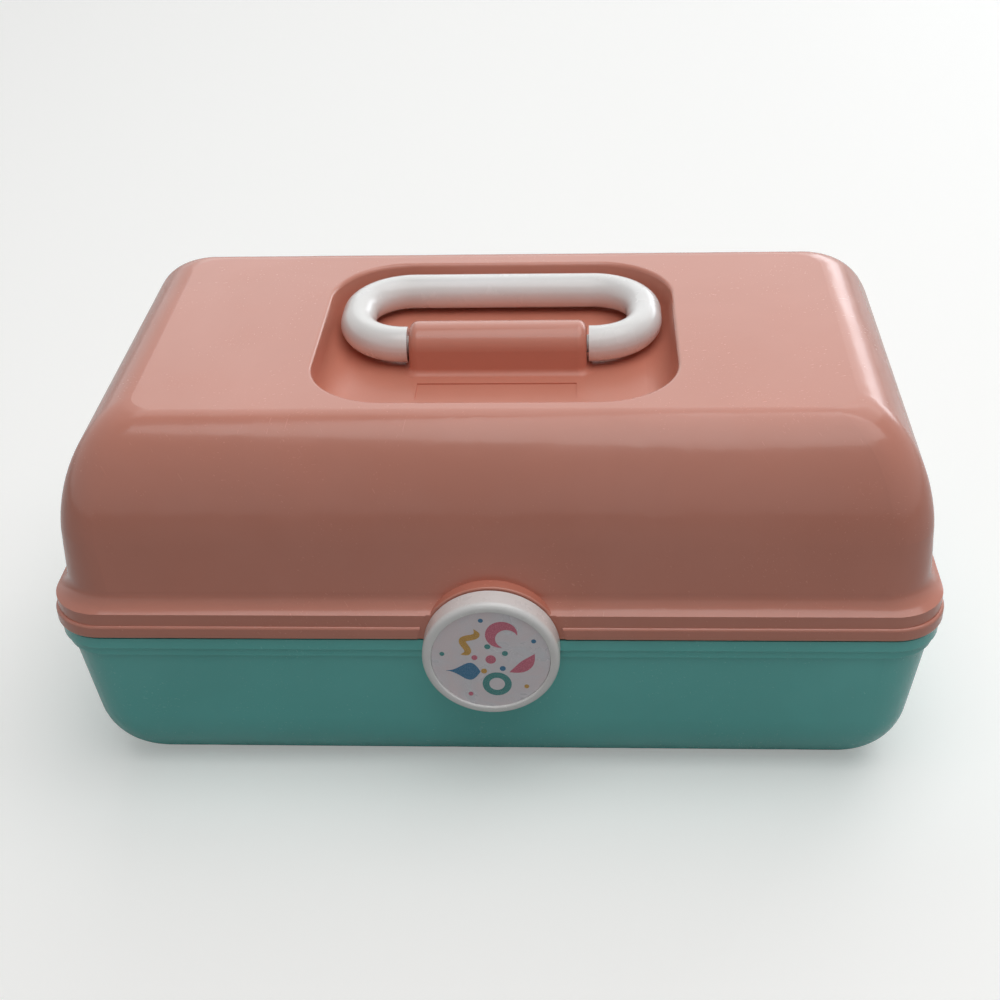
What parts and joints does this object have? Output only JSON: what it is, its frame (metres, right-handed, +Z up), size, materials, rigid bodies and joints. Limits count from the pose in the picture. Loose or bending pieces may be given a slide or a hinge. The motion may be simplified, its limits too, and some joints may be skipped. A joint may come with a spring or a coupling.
{
  "type": "makeup storage case",
  "caption": "Hard plastic makeup case with a hinged lid, folding carry handle, round snap latch, lid mirror and a tray that swings up and back as the lid opens",
  "frame": {"origin": "on the ground under the middle of the case's body", "axes": "+X to the right along the case, -Y to the front with the latch, +Z up"},
  "size_m": [0.33, 0.216, 0.1502],
  "materials": {
    "lid_plastic": "salmon pink, high gloss moulded",
    "base_plastic": "mint green, high gloss moulded",
    "white_plastic": "white, semi-gloss moulded",
    "badge_pearl": "pale pearl with a printed confetti pattern",
    "tray_plastic": "off-white, satin moulded",
    "link_plastic": "white, satin moulded",
    "frame_plastic": "salmon pink, satin moulded",
    "pin_steel": "plated steel",
    "mirror_face": "silvered mirror",
    "foam": "closed-cell foam"
  },
  "bodies": {
    "base": {"base_shell": "base_plastic", "hinge_pin_left": "pin_steel", "hinge_pin_right": "pin_steel", "latch_pin": "pin_steel", "arm_base_pin_left": "pin_steel", "arm_base_pin_right": "pin_steel"},
    "lid": {"lid_shell": "lid_plastic", "mirror_glass": "mirror_face", "mirror_pad": "foam", "mirror_frame": "frame_plastic", "mirror_screws": "pin_steel", "lid_bracket_left": "link_plastic", "lid_bracket_right": "link_plastic", "bracket_screws": "pin_steel", "tray_lid_pin_left": "pin_steel", "tray_lid_pin_right": "pin_steel"},
    "handle": {"carry_handle": "white_plastic"},
    "latch": {"latch_button": "white_plastic", "latch_badge": "badge_pearl"},
    "tray": {"tray": "tray_plastic", "arm_tray_pin_left": "pin_steel", "arm_tray_pin_right": "pin_steel"},
    "arm_left": {"link_arm_left": "link_plastic"},
    "arm_right": {"link_arm_right": "link_plastic"}
  },
  "joints": [
    {"name": "lid_hinge", "type": "hinge", "parent": "base", "child": "lid", "pos_m": [0, 0.10435, 0.0702], "axis": [-1, 0, 0], "range_deg": [0, 95]},
    {"name": "handle_swing", "type": "hinge", "parent": "lid", "child": "handle", "pos_m": [0, -0.0012, 0.141], "axis": [1, 0, 0], "range_deg": [0, 180]},
    {"name": "latch_pivot", "type": "hinge", "parent": "base", "child": "latch", "pos_m": [0, -0.10105, 0.0471], "axis": [1, 0, 0], "range_deg": [0, 80]},
    {"name": "tray_level", "type": "hinge", "parent": "lid", "child": "tray", "pos_m": [0, 0.03935, 0.0702], "axis": [1, 0, 0], "range_deg": [0, 95]},
    {"name": "arm_left_pivot", "type": "hinge", "parent": "base", "child": "arm_left", "pos_m": [-0.15025, 0.02, 0.057], "axis": [-1, 0, 0], "range_deg": [0, 95]},
    {"name": "arm_right_pivot", "type": "hinge", "parent": "base", "child": "arm_right", "pos_m": [0.15025, 0.02, 0.057], "axis": [-1, 0, 0], "range_deg": [0, 95]}
  ],
  "couplings": [
    {"joint": "tray_level", "follows": "lid_hinge", "ratio": 1},
    {"joint": "arm_left_pivot", "follows": "lid_hinge", "ratio": 1},
    {"joint": "arm_right_pivot", "follows": "lid_hinge", "ratio": 1}
  ]
}
